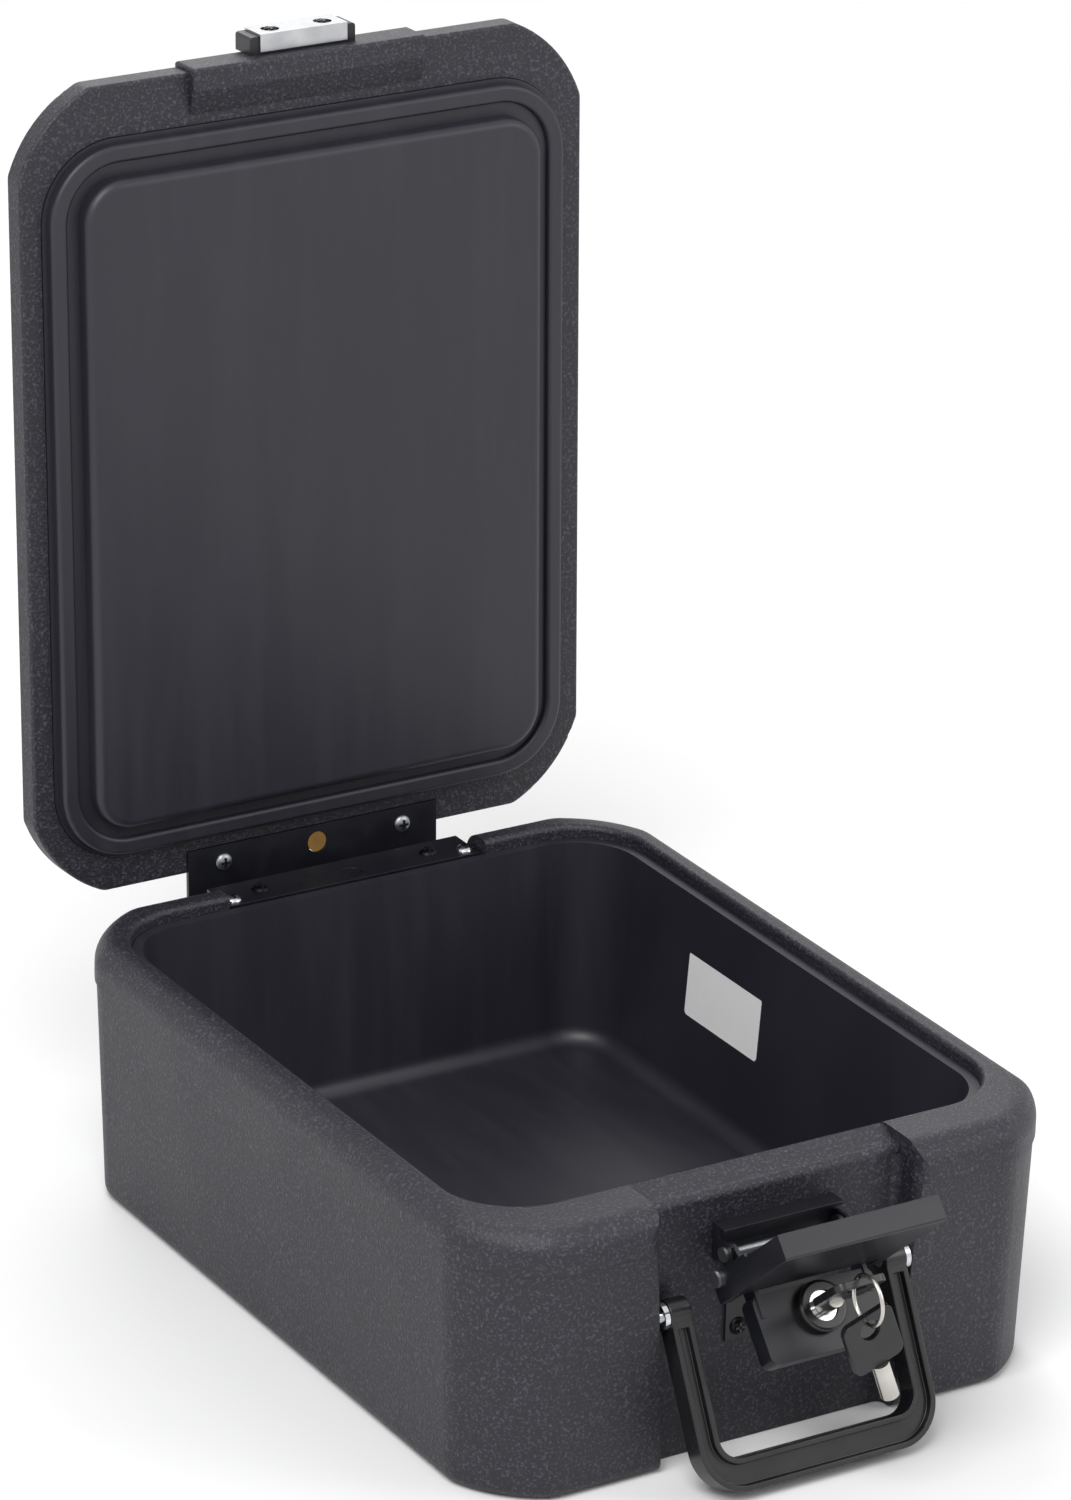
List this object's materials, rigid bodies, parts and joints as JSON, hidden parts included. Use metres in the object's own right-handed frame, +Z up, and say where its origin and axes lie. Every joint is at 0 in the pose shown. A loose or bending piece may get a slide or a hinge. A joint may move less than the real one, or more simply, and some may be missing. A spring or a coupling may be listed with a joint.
{
  "type": "cash box",
  "caption": "Fire-resistant moulded cash box with a hinged plug lid, a lockable front latch, keys on a ring and a folding carry handle.",
  "frame": {"origin": "middle of the base's underside", "axes": "+Z up, -Y towards the latch side, +X to the right seen from the front"},
  "size_m": [0.285, 0.5165, 0.4959],
  "materials": {
    "textured_shell": "coarse moulded texture, satin",
    "smooth_liner": "smooth moulded, satin",
    "fill": "cast mineral filling, dull",
    "black_steel": "black powder coat, satin",
    "steel": "zinc plated",
    "screws": "plated",
    "keeper_black": "moulded",
    "keeper_metal": "satin nickel",
    "lock_black": "gloss black",
    "chrome": "polished",
    "key_metal": "nickel plated",
    "key_plastic": "moulded",
    "handle_plastic": "moulded, satin"
  },
  "bodies": {
    "base": {"base_shell": "textured_shell", "base_liner": "smooth_liner", "base_fill": "fill", "base_fill_plug": "fill", "hinge_base_leaf": "black_steel", "hinge_base_screws": "screws", "hinge_pin": "steel", "latch_plate": "black_steel", "latch_plate_screws": "screws", "lever_pin": "steel", "handle_studs": "chrome"},
    "lid": {"lid_shell": "textured_shell", "lid_liner": "smooth_liner", "lid_fill": "fill", "lid_fill_plug": "fill", "hinge_lid_leaf": "black_steel", "hinge_lid_screws": "screws", "keeper_body": "keeper_black", "keeper_plate": "keeper_metal", "keeper_screws": "keeper_metal"},
    "lever": {"lever": "black_steel", "lock_body": "lock_black", "lock_nut": "steel", "claw_pin": "steel"},
    "claw": {"claw": "black_steel"},
    "lock_plug": {"lock_plug": "chrome", "lock_cam": "steel", "key_tube": "key_metal", "key_bow": "key_plastic"},
    "key_ring": {"key_ring": "key_metal"},
    "spare_key": {"spare_key_tube": "key_metal", "spare_key_bow": "key_plastic"},
    "handle": {"handle": "handle_plastic"}
  },
  "joints": [
    {"name": "lid_hinge", "type": "hinge", "parent": "base", "child": "lid", "pos_m": [0, 0.1965, 0.107], "axis": [-1, 0, 0], "range_deg": [-92, 0]},
    {"name": "lever_swing", "type": "hinge", "parent": "base", "child": "lever", "pos_m": [0, -0.182, 0.093], "axis": [-1, 0, 0], "range_deg": [-40, 0]},
    {"name": "claw_swing", "type": "hinge", "parent": "lever", "child": "claw", "pos_m": [0, -0.19159, 0.08826], "axis": [1, 0, 0], "range_deg": [-89, 0]},
    {"name": "key_turn", "type": "hinge", "parent": "lever", "child": "lock_plug", "pos_m": [0, -0.21138, 0.07588], "axis": [0, -0.766, 0.6428], "range_deg": [-90, 0]},
    {"name": "ring_slip", "type": "hinge", "parent": "lock_plug", "child": "key_ring", "pos_m": [0, -0.24299, 0.09235], "axis": [1, 0, 0], "range_deg": [-2, 5]},
    {"name": "spare_key_swing", "type": "hinge", "parent": "key_ring", "child": "spare_key", "pos_m": [0, -0.24299, 0.08185], "axis": [0, 1, 0], "range_deg": [-10, 0]},
    {"name": "handle_swing", "type": "hinge", "parent": "base", "child": "handle", "pos_m": [0, -0.181, 0.0714], "axis": [-1, 0, 0], "range_deg": [0, 25]}
  ],
  "couplings": [
    {"joint": "claw_swing", "follows": "lever_swing", "ratio": 2.225}
  ]
}
